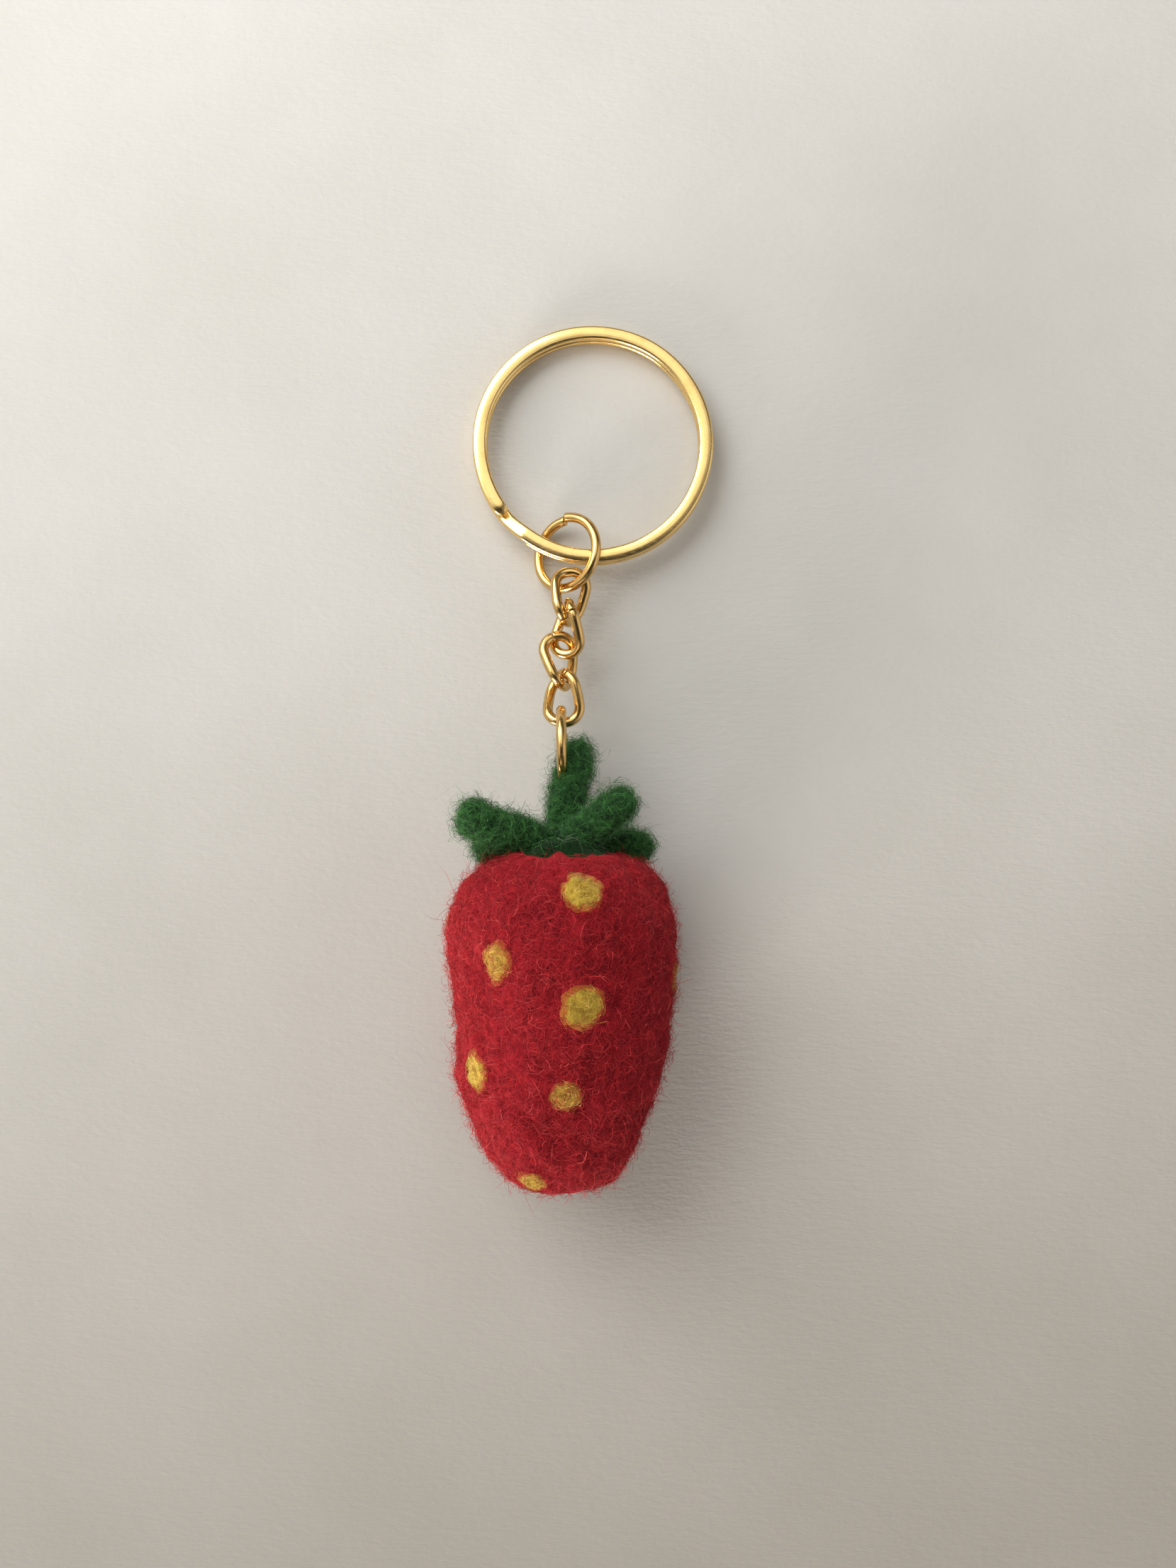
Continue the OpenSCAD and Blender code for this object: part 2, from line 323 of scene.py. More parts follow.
def gold_material(name, colour, deep, rough, seed=0):
    """Gold plate with cloudy darker places, fine scratches and a roughness between two values."""
    m, nt, bsdf, coord = new_material(name)
    cloud = noise(nt, coord, 420.0, 4.0, 0.6).outputs["Fac"]
    scratch = streaks(nt, coord, (0.2 + seed, 0.4, 0.9), (600, 9000, 9000), 3.0, 0.55)
    fine = ramp(nt, scratch, [(0.55, 0), (0.70, 1)])
    base = mix(nt, ramp(nt, cloud, [(0.45, 0), (0.80, 0.7)]), colour, deep)
    nt.links.new(base, bsdf.inputs["Base Color"])
    dull = ramp(nt, cloud, [(0.30, rough[0]), (0.75, rough[1])])
    dull = maths(nt, "ADD", dull, maths(nt, "MULTIPLY", fine, 0.12))
    nt.links.new(dull, bsdf.inputs["Roughness"])
    height = maths(nt, "ADD", cloud, maths(nt, "MULTIPLY", fine, 0.15))
    bump(nt, bsdf, height, 0.10, 0.00005)
    settings(bsdf, Metallic=1.0)
    return m


GOLD = gold_material("gold_plate", (0.95, 0.68, 0.28), (0.76, 0.48, 0.16), (0.12, 0.26))
# The chain's and the jump rings' gold is darker than the ring's: painted shade, standing in for the dark
# surroundings that the wires reflect
CHAIN_GOLD = gold_material("gold_plate_painted_shade", (0.76, 0.49, 0.18), (0.42, 0.25, 0.075),
                           (0.10, 0.24), seed=0.7)
RED = felt_material("red_felt", (0.13, 0.003, 0.009), (0.34, 0.009, 0.021),
                    (0.58, 0.028, 0.036), 1, (1.0, 0.12, 0.12), 0.30)
GREEN = felt_material("green_felt", (0.002, 0.012, 0.003), (0.006, 0.036, 0.008),
                      (0.028, 0.120, 0.026), 2, (0.5, 0.9, 0.5), 0.25)
YELLOW = felt_material("yellow_felt", (0.38, 0.21, 0.022), (0.62, 0.41, 0.042),
                       (0.80, 0.62, 0.12), 3, (1.0, 0.9, 0.5), rim=(0.50, 0.14, 0.03))
DULL_YELLOW = felt_material("yellow_felt_dull", (0.34, 0.16, 0.02), (0.56, 0.32, 0.045),
                            (0.74, 0.50, 0.10), 4, (1.0, 0.8, 0.4), rim=(0.42, 0.09, 0.025))
# The cap's felt is a darker green than the leaves': painted shade, for the cap lying under the bases of
# the leaves
SHADED_GREEN = felt_material("green_felt_painted_shade", (0.002, 0.010, 0.003), (0.005, 0.023, 0.005),
                           (0.016, 0.058, 0.014), 6, (0.5, 0.8, 0.5), 0.1)
CORE = felt_material("core_wool_felt", (0.60, 0.55, 0.45), (0.75, 0.71, 0.60),
                     (0.88, 0.85, 0.76), 5, (1.0, 1.0, 0.95))
PINK_FIBRE = fibre_material("red_fibre_light", (0.46, 0.024, 0.032), (0.72, 0.085, 0.08),
                            (1.0, 0.4, 0.4))
RED_FIBRE = fibre_material("red_fibre", (0.30, 0.007, 0.016), (0.52, 0.020, 0.028),
                           (1.0, 0.2, 0.2))
GREEN_FIBRE = fibre_material("green_fibre", (0.006, 0.048, 0.009), (0.055, 0.215, 0.042),
                             (0.6, 1.0, 0.6))
YELLOW_FIBRE = fibre_material("yellow_fibre", (0.48, 0.29, 0.036), (0.80, 0.59, 0.13),
                              (1.0, 0.9, 0.6))
PALE_FIBRE = fibre_material("pale_fibre", (0.22, 0.28, 0.21), (0.45, 0.49, 0.41),
                            (1.0, 1.0, 1.0))


# ------------------------------------------------------------------ metal
SPLIT_AT, SPLIT_TILT = (0.7, 31.45, 1.68), -2.9
# radius to the wire's middle, and how far each turn lies from the plane between the two
SPLIT_R, SPLIT_LEVEL = 11.75, 0.49
SPLIT_W, SPLIT_T, SPLIT_CORNER = 1.5, 0.80, 0.33
# angles along the wire: its first end, the step up to the second turn, its last end
SPLIT_START, STEP_FROM, STEP_TO, SPLIT_STOP = 235.5, 578, 594.5, 937.5
JUMP_R, JUMP_WIRE_R = 3.7, 0.5
# name, place, turns about z, x and y, angle of the seam, its gap in radians, and how far the ends
# pass each other
JUMP_RINGS = (("upper", (-1.97, 20.04, 2.77), (-3.28, -5.77, -36.42), 97, 0.10, 0.14),
              ("lower", (-2.39, -0.08, 6.49), (1.4, 0, -90), 155, 0.06, 0.05))
# wire radius, half the length and half the width to the wire's middle, twist from end to end
LINK_WIRE_R, LINK_HALF, LINK_WIDE, LINK_TWIST = 0.525, 2.62, 1.68, 65
# place, roll about its own length, turn about x, turn about z, where round the link its seam is
LINKS = (((-1.69, 15.41, 3.66), -34.15, -6.12, -6.48, 0.62),
         ((-1.92, 12.07, 4.16), 52.12, 0.98, -2.58, 0.05),
         ((-2.62, 8.74, 4.09), -41.19, 1.79, 9.62, 0.21),
         ((-2.33, 4.91, 5.06), 26.67, -15.89, 3.21, 0.10))


def split_ring():
    """Two turns of flat wire with a step between them. Its last end is bent in and worn thin."""
    start, step0, step1, stop = np.radians([SPLIT_START, STEP_FROM, STEP_TO, SPLIT_STOP])
    th = np.concatenate([np.linspace(start, step0 - 0.02, 230), np.linspace(step0, step1, 26),
                         np.linspace(step1 + 0.02, stop, 230)])
    z = SPLIT_LEVEL * (2 * smooth((th - step0) / (step1 - step0)) - 1)
    wobble = 0.02 * np.sin(3 * th) + 0.015 * np.sin(7 * th + 1)
    # 0 along the wire, rising to 1 over the last 0.9 mm
    near = np.clip(1 - (stop - th) * SPLIT_R / 0.9, 0, 1)
    r = SPLIT_R + wobble - 0.10 * near**2
    path = np.stack([r * np.cos(th), r * np.sin(th), z - 0.20 * near**2], 1)
    outward = np.stack([np.cos(th), np.sin(th), 0 * th], 1)
    size = np.stack([1 - 0.30 * near**3, 1 - 0.10 * near**3], 1)
    turn = rot_x(SPLIT_TILT).T
    ob = open_wire("split_ring_wire", path @ turn + np.array(SPLIT_AT),
                   flat_section(SPLIT_W, SPLIT_T, SPLIT_CORNER), "ring_split", GOLD,
                   up=outward @ turn, bevel=0.14, size=size)
    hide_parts("split_ring")


def jump_path(seam, gap, offset, n=150):
    """A jump ring closed by hand: its two ends pass each other a little."""
    th = math.radians(seam) + np.linspace(gap / 2, TAU - gap / 2, n)
    f = np.linspace(-1, 1, n)
    bend = np.sign(f) * np.abs(f) ** 7
    r = JUMP_R + 0.10 * bend
    return np.stack([r * np.cos(th), r * np.sin(th), offset * bend], 1)


def jump_rings():
    for name, at, turn, seam, gap, offset in JUMP_RINGS:
        r = rot_z(turn[0]) @ rot_x(turn[1]) @ rot_y(turn[2])
        path = jump_path(seam, gap, offset) @ r.T + np.array(at)
        ob = open_wire(f"{name}_jump_ring_wire", path, round_section(JUMP_WIRE_R), f"ring_{name}",
                       CHAIN_GOLD, bevel=0.05)
        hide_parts(f"jump_ring_{name}")


def link_path(roll, seam, gap=0.11, n=132):
    """The middle of a curb link's wire: half turn, straight, half turn, straight, all twisted."""
    middle = LINK_HALF - LINK_WIDE
    run, bend = 2 * middle, math.pi * LINK_WIDE
    total = 2 * (run + bend)
    s = (np.linspace(gap / 2, total - gap / 2, n) + seam * total) % total
    a, b = s / LINK_WIDE, math.pi + (s - bend - run) / LINK_WIDE
    stretch = [s < bend, s < bend + run, s < 2 * bend + run]
    x = np.select(stretch, [LINK_WIDE * np.cos(a), -LINK_WIDE, LINK_WIDE * np.cos(b)], LINK_WIDE)
    y = np.select(stretch, [middle + LINK_WIDE * np.sin(a), middle - (s - bend),
                            LINK_WIDE * np.sin(b) - middle], s - 2 * bend - run - middle)
    t = np.radians(roll + LINK_TWIST * y / (2 * LINK_HALF))
    return np.stack([x * np.cos(t), y, x * np.sin(t)], 1)


def chain():
    for i, (at, roll, turn_x, turn_z, seam) in enumerate(LINKS, 1):
        r = rot_z(turn_z) @ rot_x(turn_x)
        path = link_path(roll, seam) @ r.T + np.array(at)
        ob = open_wire(f"chain_link_wire_{i}", path, round_section(LINK_WIRE_R, 20), f"link_{i}",
                       CHAIN_GOLD, bevel=0.035)
        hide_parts(f"chain_link_{i}")


split_ring()
jump_rings()
chain()


# ------------------------------------------------------------------ the berry's surface
BERRY_R, BERRY_L, WIDE_AT = 10.85, 32.7, 22.7
BX, BZ, TIP_Y = -2.2, 10.6, -42.7
# the steps of the angle and of the distance from the tip by which its slopes are measured
BERRY_STEPS = (0.01, 0.06)
# how near the paper the wool comes, and how softly the underside is pressed flat
REST_Z, PRESSED = 0.06, 0.04
LUMP, LUMP_H = waves(11, 26, 9.5), 0.20
MID, MID_H = waves(12, 40, 3.3), 0.14
FINE, FINE_H = waves(13, 60, 1.25), 0.055
# dents: distance from the tip, angle round the axis, depth, radius
DENTS = ((19.1, 29, 0.6, 0.8), (15.0, -15, 0.45, 1.3), (13.2, 4, 0.25, 1.7), (7.1, 4, 0.55, 2.4),
         (25.3, -8, 0.18, 2.2), (20.8, -42, 0.2, 1.6), (9.3, 62, 0.2, 2.2), (3.3, -10, 0.25, 1.5))
PIT_COUNT = 420


def half(s):
    """The berry's radius at a distance s from its tip: a round shoulder above WIDE_AT and a long
    taper to a blunt tip below it."""
    hi = np.clip((s - WIDE_AT) / (BERRY_L - WIDE_AT), 0, 1)
    lo = np.clip((WIDE_AT - s) / WIDE_AT, 0, 1)
    return BERRY_R * np.where(s > WIDE_AT, (1 - hi**2.7) ** 0.37, (1 - lo**1.5) ** (1 / 3.6))


def berry_raw(a, s):
    """The berry before its lumps. a is the angle round the axis from straight up, s runs from
    the tip. It leans a little to the left near the tip and is hollow at the top."""
    s = np.clip(s, 0.0, BERRY_L)
    r = half(s)
    lean = -0.5 * np.exp(-(((s - 6.5) / 6) ** 2))
    y = TIP_Y + s - 0.75 * np.exp(-((r / 3.6) ** 2)) * (s > WIDE_AT)
    return np.stack([BX + lean + r * np.sin(a), y, BZ + r * np.cos(a)], -1)


def needle_pits():
    """Places, depths and radii of the small pits that the felting needle left."""
    r = np.random.default_rng(5)
    a = r.uniform(0, TAU, PIT_COUNT)
    s = BERRY_L * r.beta(1.2, 1.1, PIT_COUNT)
    return berry_raw(a, s), r.uniform(0.04, 0.20, PIT_COUNT), r.uniform(0.30, 0.75, PIT_COUNT)


def dents():
    s, a, depth, radius = np.array(DENTS, float).T
    return berry_raw(np.radians(a), s), depth, radius


PITS, BIG_DENTS = needle_pits(), dents()


def dips(p, centres, depth, radius):
    """How deep the dips make each point, worked out in batches to save memory."""
    flat = p.reshape(-1, 3)
    total = np.zeros(len(flat))
    batch = 8000
    for i in range(0, len(flat), batch):
        d2 = ((flat[i:i + batch, None] - centres[None]) ** 2).sum(-1)
        total[i:i + batch] = (depth * np.exp(-d2 / radius**2)).sum(-1)
    return total.reshape(p.shape[:-1])


def berry(a, s):
    """The lumpy, dented berry, lying on the paper."""
    p = berry_raw(a, s)
    e = 0.05
    r0, r1 = half(np.clip(s - e, 0, BERRY_L)), half(np.clip(s + e, 0, BERRY_L))
    slope = np.arctan2(r1 - r0, 2 * e)
    n = np.stack([np.sin(a) * np.cos(slope), -np.sin(slope), np.cos(a) * np.cos(slope)], -1)
    d = LUMP_H * LUMP(p) + MID_H * MID(p) + FINE_H * FINE(p)
    d = d - dips(p, *PITS) - dips(p, *BIG_DENTS)
    q = p + n * d[..., None]
    z = q[..., 2] - REST_Z
    q[..., 2] = REST_Z + 0.5 * (z + np.sqrt(z**2 + PRESSED))
    return q


def berry_inside(p):
    """A point on the berry's axis, well inside, for each point on its surface."""
    c = np.array(p, copy=True)
    c[..., 0] = BX
    c[..., 2] = BZ
    c[..., 1] = np.clip(p[..., 1], TIP_Y + 9, TIP_Y + BERRY_L - 8)
    return c


def normals(surf, inside, a, b, steps):
    """Points, tangents along both parameters, and normals that point away from the inside."""
    ea, eb = steps
    p = surf(a, b)
    fa = (surf(a + ea, b) - surf(a - ea, b)) / (2 * ea)
    fb = (surf(a, b + eb) - surf(a, b - eb)) / (2 * eb)
    n = unit(np.cross(fa, fb))
    n = n * np.sign(((p - inside(p)) * n).sum(-1, keepdims=True))
    return p, fa, fb, n


# ------------------------------------------------------------------ fingers of green felt
LOBE_STEPS = (0.02, 0.01)
# 2 would make their section an ellipse, and more makes it squarer
LOBE_SQUARE = 2.4


def lobe(base, tip, width, thick, bow, seed, flat_up=(0, 0, 1), club=0.28, root=0.75):
    """A finger of felt from base to tip. t runs along it, a goes round it. bow is how far it
    arches, root its size at the base, and club how much it thickens towards the tip."""
    base, tip = np.array(base, float), np.array(tip, float)
    span = np.linalg.norm(tip - base)
    along = (tip - base) / span
    side = unit(np.cross(along, np.array(flat_up, float)))
    up = np.cross(side, along)
    tip_share = width / 2 / span
    lump, mid, fine = waves(seed, 14, 5.0), waves(seed + 1, 26, 2.0), waves(seed + 2, 40, 0.9)

    def centre(t):
        arch = bow * np.sin(math.pi * t * 0.9)
        return base + along * span * t[..., None] + up * arch[..., None]

    def surf(a, t):
        t = np.clip(t, 0.0, 1.0)
        size = root + (1 - root) * smooth(t / 0.45) + club * smooth((t - 0.25) / 0.5) * 0.3
        to_tip = 1 - np.clip((t - (1 - tip_share)) / tip_share, 0, 1)
        size = size * np.sqrt(np.clip(1 - (1 - to_tip) ** 2.3, 0, 1))
        x, y = np.cos(a), np.sin(a)
        k = 1 / (np.abs(x) ** LOBE_SQUARE + np.abs(y) ** LOBE_SQUARE) ** (1 / LOBE_SQUARE)
        off = side * (x * k * width / 2 * size)[..., None] + up * (y * k * thick / 2 * size)[..., None]
        p = centre(t) + off
        d = (0.22 * lump(p) + 0.12 * mid(p) + 0.05 * fine(p)) * np.minimum(1, size * 2.2)
        return p + unit(off + 1e-9) * d[..., None]

    def inside(p):
        return centre(np.clip(((p - base) @ along) / span, 0.0, 0.92))

    surf.inside = inside
    return surf


def lobe_mesh(name, surf, node_name, rows=70, cols=72):
    t = 1 - (1 - np.linspace(0, 1, rows)) ** 1.5
    A, T = np.meshgrid(round_steps(cols), np.minimum(t, 0.9995))
    points = tube_points(surf(A, T))
    ob = make(name, points, tube_faces(rows, cols), "berry", GREEN)
    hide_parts(node_name)


# ------------------------------------------------------------------ fibres
LOWEST_FIBRE = 0.03


def grow(surf, inside, a, b, steps, length, segs, rng, lift, stand, curl, heading=None, bend=0.0):
    """Strands that start on a surface and wander over it. Returns (N, segs + 1, 3).
    lift is how high a strand arches, stand is how far its free end leaves the surface."""
    n = len(a)
    p, fa, fb, nr = normals(surf, inside, a, b, steps)
    th = rng.uniform(0, TAU, n) if heading is None else heading
    t1 = unit(fa)
    t2 = np.cross(nr, t1)
    d = t1 * np.cos(th)[:, None] + t2 * np.sin(th)[:, None]
    turn = rng.normal(0, curl, n) + bend
    step = length / segs
    # the most that one step may change either parameter, where the surface folds
    most_a, most_b = 0.3, 60 * steps[1]
    points = []
    for k in range(segs + 1):
        t = k / segs
        h = 0.02 + lift * math.sin(math.pi * t) + stand * t**1.6
        points.append(p + nr * h[:, None])
        if k == segs:
            break
        g11, g12, g22 = (fa * fa).sum(-1), (fa * fb).sum(-1), (fb * fb).sum(-1)
        r1, r2 = (fa * d).sum(-1) * step, (fb * d).sum(-1) * step
        det = np.maximum(g11 * g22 - g12**2, 1e-6)
        a = a + np.clip((g22 * r1 - g12 * r2) / det, -most_a, most_a)
        b = b + np.clip((g11 * r2 - g12 * r1) / det, -most_b, most_b)
        p, fa, fb, nr = normals(surf, inside, a, b, steps)
        d = unit(d - nr * (d * nr).sum(-1, keepdims=True))
        turn = turn + rng.normal(0, curl * 0.6, n)
        w = (turn * step)[:, None]
        d = unit(d * np.cos(w) + np.cross(nr, d) * np.sin(w))
    return np.stack(points, 1)


def ribbons(name, strands, width, rng, material):
    """Turns the berry's strands into thin tapering ribbons in one mesh, none below the paper."""
    strands = np.concatenate(strands) if isinstance(strands, list) else strands
    strands[..., 2] = np.maximum(strands[..., 2], LOWEST_FIBRE)
    n, k = strands.shape[:2]
    t = unit(np.gradient(strands, axis=1))
    side = unit(np.cross(t, unit(rng.normal(size=(n, 1, 3)))))
    taper = 1 - 0.75 * np.abs(np.linspace(-0.6, 1, k)) ** 3
    w = (width * rng.uniform(0.7, 1.3, n))[:, None, None] * taper[None, :, None] / 2
    points = np.stack([strands - side * w, strands + side * w], 2).reshape(-1, 3)
    first = (np.arange(n)[:, None] * k + np.arange(k - 1)[None]).reshape(-1) * 2
    quads = np.stack([first, first + 1, first + 3, first + 2], 1).tolist()
    make(name, points, quads, "berry", material)


# ------------------------------------------------------------------ berry, core and dots
# each dot: distance from the tip, angle round the axis, size, length over width
DOTS = ((29.0, 11, 1.18, 1.0), (22.8, -33, 1.07, 1.25), (19.0, 11, 1.28, 1.0),
        (12.2, -54, 1.08, 1.2), (10.7, 4, 0.98, 0.95), (2.3, -22, 0.88, 0.9),
        (20.5, 80, 0.95, 1.1), (13.3, 118, 0.95, 1.0), (25.1, -97, 0.95, 1.05),
        (26.3, 150, 0.95, 1.0), (16.3, -128, 1.0, 0.95), (6.8, -160, 0.85, 1.0))
DOT_R = 1.75
# counted from 0: duller ones, ones veiled by red wool, and the one with a dent in its middle
DULL_DOTS, VEILED_DOTS, DENTED_DOT = (1, 4, 5), (1, 4), 4
# where the core begins, its length, and its share of the berry's radius
CORE_FROM, CORE_L, CORE_SHARE = 2.6, BERRY_L - 5.6, 0.74
# strands lying on the berry and standing clear of it, and how many of the second are lighter
LYING_COUNT, LOOSE_COUNT, LIGHT_COUNT = 12500, 11000, 1700


def berry_mesh():
    rows, cols = 230, 320
    s = BERRY_L * (1 - np.cos(math.pi * (np.arange(rows) + 0.35) / (rows - 0.3))) / 2
    A, S = np.meshgrid(round_steps(cols), s)
    p = berry(A, S)
    tip = berry(np.zeros(1), np.zeros(1) + 0.001)[0]
    points = tube_points(p, first=p[0].mean(0) * 0.5 + tip * 0.5)
    ob = make("berry_felt", points, tube_faces(rows, cols, flip=True), "berry", RED)
    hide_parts("berry_skin")


def core_mesh():
    """The undyed core, out of sight inside the red layer."""
    rows, cols = 60, 80
    along = math.pi * np.arange(rows) / (rows - 1)
    A, S = np.meshgrid(round_steps(cols), CORE_FROM + CORE_L * (1 - np.cos(along)) / 2)
    raw = berry_raw(A, S)
    axis = np.stack([np.full_like(A, BX), raw[..., 1], np.full_like(A, BZ)], -1)
    g = np.sin(along)[:, None, None] ** 0.5
    p = axis + (raw - axis) * (CORE_SHARE * g) + 0.12 * MID(raw)[..., None] * g
    ob = make("core_wool", tube_points(p), tube_faces(rows, cols, flip=True), "berry", CORE)
    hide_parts("berry_core")


def dot_place(i, rho, phi):
    """Surface parameters of a point on dot i, rho from its middle in millimetres."""
    s0, a0 = DOTS[i][0], math.radians(DOTS[i][1])
    e = 0.3
    r0, r1 = half(np.array([s0, s0 + e]))
    lean = math.cos(math.atan2(r1 - r0, e))
    s = s0 + rho * np.cos(phi) * lean
    a = a0 + rho * np.sin(phi) / np.maximum(half(np.clip(s, 0.15, BERRY_L - 0.15)), 1.2)
    return a, s


def dot_mesh(i):
    """A low cushion of yellow wool whose rim, just past f = 1, dips into the red wool."""
    rows, cols = 22, 64
    ragged, pebble = waves(300 + i, 9, 1.9), waves(340 + i, 30, 0.8)
    phi = round_steps(cols)
    circle = np.stack([3 * np.cos(phi), 3 * np.sin(phi), 0 * phi], -1)
    rim = DOT_R * DOTS[i][2] * (1 + 0.075 * ragged(circle))
    rim = rim / np.sqrt((np.cos(phi) / DOTS[i][3]) ** 2 + np.sin(phi) ** 2)
    f = np.linspace(0.04, 1.16, rows)[:, None]
    a, s = dot_place(i, f * rim, phi[None] + 0 * f)
    p, _, _, n = normals(berry, berry_inside, a, s, (0.01, 0.08))
    up = 0.20 * (1 - f**3) - 0.80 * np.clip(f - 0.9, 0, 1) * f
    if i == DENTED_DOT:
        up = up - 0.30 * np.exp(-((f / 0.22) ** 2)) - 0.05
    up = up + 0.045 * pebble(p) * (f < 1.0)
    q = p + n * np.broadcast_to(up, p.shape[:-1])[..., None]
    points = np.concatenate([q.reshape(-1, 3), [q[0].mean(0)]])
    ob = make(f"dot_felt_{i + 1:02d}", points, tube_faces(rows, cols, far_end=False), "berry",
              DULL_YELLOW if i in DULL_DOTS else YELLOW)
    edge = ob.data.attributes.new("edge", "FLOAT", "POINT")
    edge.data.foreach_set("value", np.append(np.repeat(f[:, 0], cols), 0.0).astype(np.float32))
    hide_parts(f"dot_{i + 1:02d}")


def near_dot(a, s, size):
    """True where a point lies on one of the dots, with their radius taken size times as large."""
    p = berry_raw(a, s)
    hit = np.zeros(len(a), bool)
    for along, angle, dot_size, _ in DOTS:
        centre = berry_raw(np.array([math.radians(angle)]), np.array([along]))[0]
        hit |= np.linalg.norm(p - centre, axis=1) < DOT_R * dot_size * size
    return hit


def dot_strands(i, rng, count, reach, inward, length, lift, stand):
    """Strands on dot i: they run round it, or inward over its edge."""
    rho = DOT_R * DOTS[i][2] * rng.uniform(*reach, count)
    phi = rng.uniform(0, TAU, count)
    a, s = dot_place(i, rho, phi)
    out = math.pi / 2 - phi
    way = np.sign(rng.normal(size=count))
    bend = 0.0
    if inward:
        heading = out + math.pi + rng.normal(0, 0.9, count)
    else:
        heading = out + way * (math.pi / 2 + np.abs(rng.normal(0, 0.35, count)))
        bend = way / np.maximum(rho, 0.6)
    return grow(berry, berry_inside, a, np.clip(s, 0.3, BERRY_L - 0.3), BERRY_STEPS,
                rng.uniform(*length, count), 5, rng, rng.uniform(*lift, count),
                rng.uniform(*stand, count), 0.5, heading, bend)


def berry_starts(rng, wanted):
    """Up to the wanted number of points on the berry, fewer for each millimetre of its length
    where it is narrow, so that they are spread evenly."""
    s = rng.uniform(0.4, BERRY_L - 0.8, wanted * 3)
    s = s[rng.uniform(0, 1, wanted * 3) < (half(s) / BERRY_R) * 0.95 + 0.05][:wanted]
    return rng.uniform(0, TAU, len(s)), s


def berry_fibres():
    rng = np.random.default_rng(21)
    # lying on the surface, a few of them across the dots
    a, s = berry_starts(rng, LYING_COUNT)
    on = near_dot(a, s, 0.95)
    keep = ~on | (rng.uniform(0, 1, len(a)) < 0.08)
    a, s = a[keep], s[keep]
    n = len(a)
    lying = grow(berry, berry_inside, a, s, BERRY_STEPS, rng.uniform(1.2, 3.4, n), 5, rng,
                 rng.uniform(0.02, 0.20, n), rng.uniform(0.0, 0.12, n), 0.6)
    ribbons("berry_fibres_lying", lying, 0.030, rng, RED_FIBRE)
    # loops and loose ends that stand clear, the first of them lighter
    a, s = berry_starts(rng, LOOSE_COUNT)
    keep = ~near_dot(a, s, 0.9)
    a, s = a[keep], s[keep]
    n = len(a)
    loose = grow(berry, berry_inside, a, s, BERRY_STEPS, rng.uniform(0.8, 2.4, n), 5, rng,
                 rng.gamma(1.5, 0.15, n), rng.gamma(2.2, 0.24, n), 0.9)
    ribbons("berry_fibres_loose", loose[LIGHT_COUNT:], 0.030, rng, RED_FIBRE)
    ribbons("berry_fibres_light", loose[:LIGHT_COUNT], 0.030, rng, PINK_FIBRE)
    # yellow wool over the dots, stray yellow ends, and red wool needled in over their edges
    yellow, red = [], []
    for i in range(len(DOTS)):
        yellow.append(dot_strands(i, rng, 190, (0.0, 0.92), False, (0.4, 1.1), (0.16, 0.34), (0.0, 0.2)))
        yellow.append(dot_strands(i, rng, 12, (0.5, 1.05), False, (0.6, 1.6), (0.16, 0.4), (0.1, 0.5)))
        red.append(dot_strands(i, rng, 150, (0.95, 1.25), True, (0.4, 1.0), (0.24, 0.42), (0.0, 0.15)))
        if i in VEILED_DOTS:
            red.append(dot_strands(i, rng, 45, (0.1, 0.9), False, (0.5, 1.3), (0.26, 0.4), (0.0, 0.1)))
    ribbons("dot_fibres", yellow, 0.028, rng, YELLOW_FIBRE)
    ribbons("dot_edge_fibres", red, 0.032, rng, RED_FIBRE)


berry_mesh()
core_mesh()
for i in range(len(DOTS)):
    dot_mesh(i)
berry_fibres()


# ------------------------------------------------------------------ green cap
STEM = lobe((-2.9, -9.6, 8.9), (-0.5, 0.3, 6.4), 3.2, 4.3, 0.0, 60, club=-0.6, root=0.62)
LEAVES = (
    lobe((-2.2, -9.2, 11.4), (4.4, -5.0, 15.2), 2.35, 2.3, 0.35, 70, flat_up=(0, -0.4, 1)),
    lobe((-3.4, -9.3, 11.3), (-12.1, -6.7, 13.2), 2.6, 2.3, 0.55, 80, flat_up=(0, -0.2, 1)),
    lobe((-3.4, -9.1, 9.4), (-10.9, -10.3, 7.9), 2.6, 2.2, 0.25, 90),
    lobe((-1.2, -9.1, 9.5), (6.4, -10.3, 8.4), 2.4, 2.2, 0.25, 100))
CAP_LUMP, CAP_FINE = waves(120, 20, 3.0), waves(121, 40, 1.0)
CAP_R, CAP_TOP, CAP_UNDER = 4.35, -8.9, -11.6
CAP_STEPS = (0.02, 0.02)
# strands on the stem, a leaf and the cap, and pale ones on the cap
STEM_COUNT, LEAF_COUNT, CAP_COUNT, PALE_COUNT = 1500, 1150, 300, 16
# loose strands for each lying one on the stem and leaves
LOOSE_SHARE = 1.9


def cap(a, r):
    """The felted cap over the berry's shoulder. r runs from its middle, 0, to its rim, 1."""
    r = np.clip(r, 0.0, 1.25)
    y = CAP_TOP - 0.6 * r**2 - 3.8 * np.clip(r - 0.72, 0, 1) ** 1.5
    p = np.stack([BX + CAP_R * r * np.cos(a), y, BZ + CAP_R * r * np.sin(a)], -1)
    p[..., 1] += 0.28 * CAP_LUMP(p) + 0.08 * CAP_FINE(p)
    return p


def cap_inside(p):
    """For each point of the cap, one inside the berry, straight from it towards the tip."""
    c = np.array(p, copy=True)
    c[..., 1] = -14.0
    return c


def cap_mesh():
    rows, cols = 40, 96
    A, R = np.meshgrid(round_steps(cols), np.linspace(0.03, 1.2, rows))
    p = cap(A, R)
    under = np.array(p[-1:], copy=True)
    under[..., 1] -= 0.5
    points = tube_points(np.concatenate([p, under]), last=[BX, CAP_UNDER, BZ])
    # the cap's darker green is painted shade under the leaves' bases
    ob = make("cap_felt", points, tube_faces(rows + 1, cols, flip=True), "berry", SHADED_GREEN)
    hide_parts("calyx_cap")


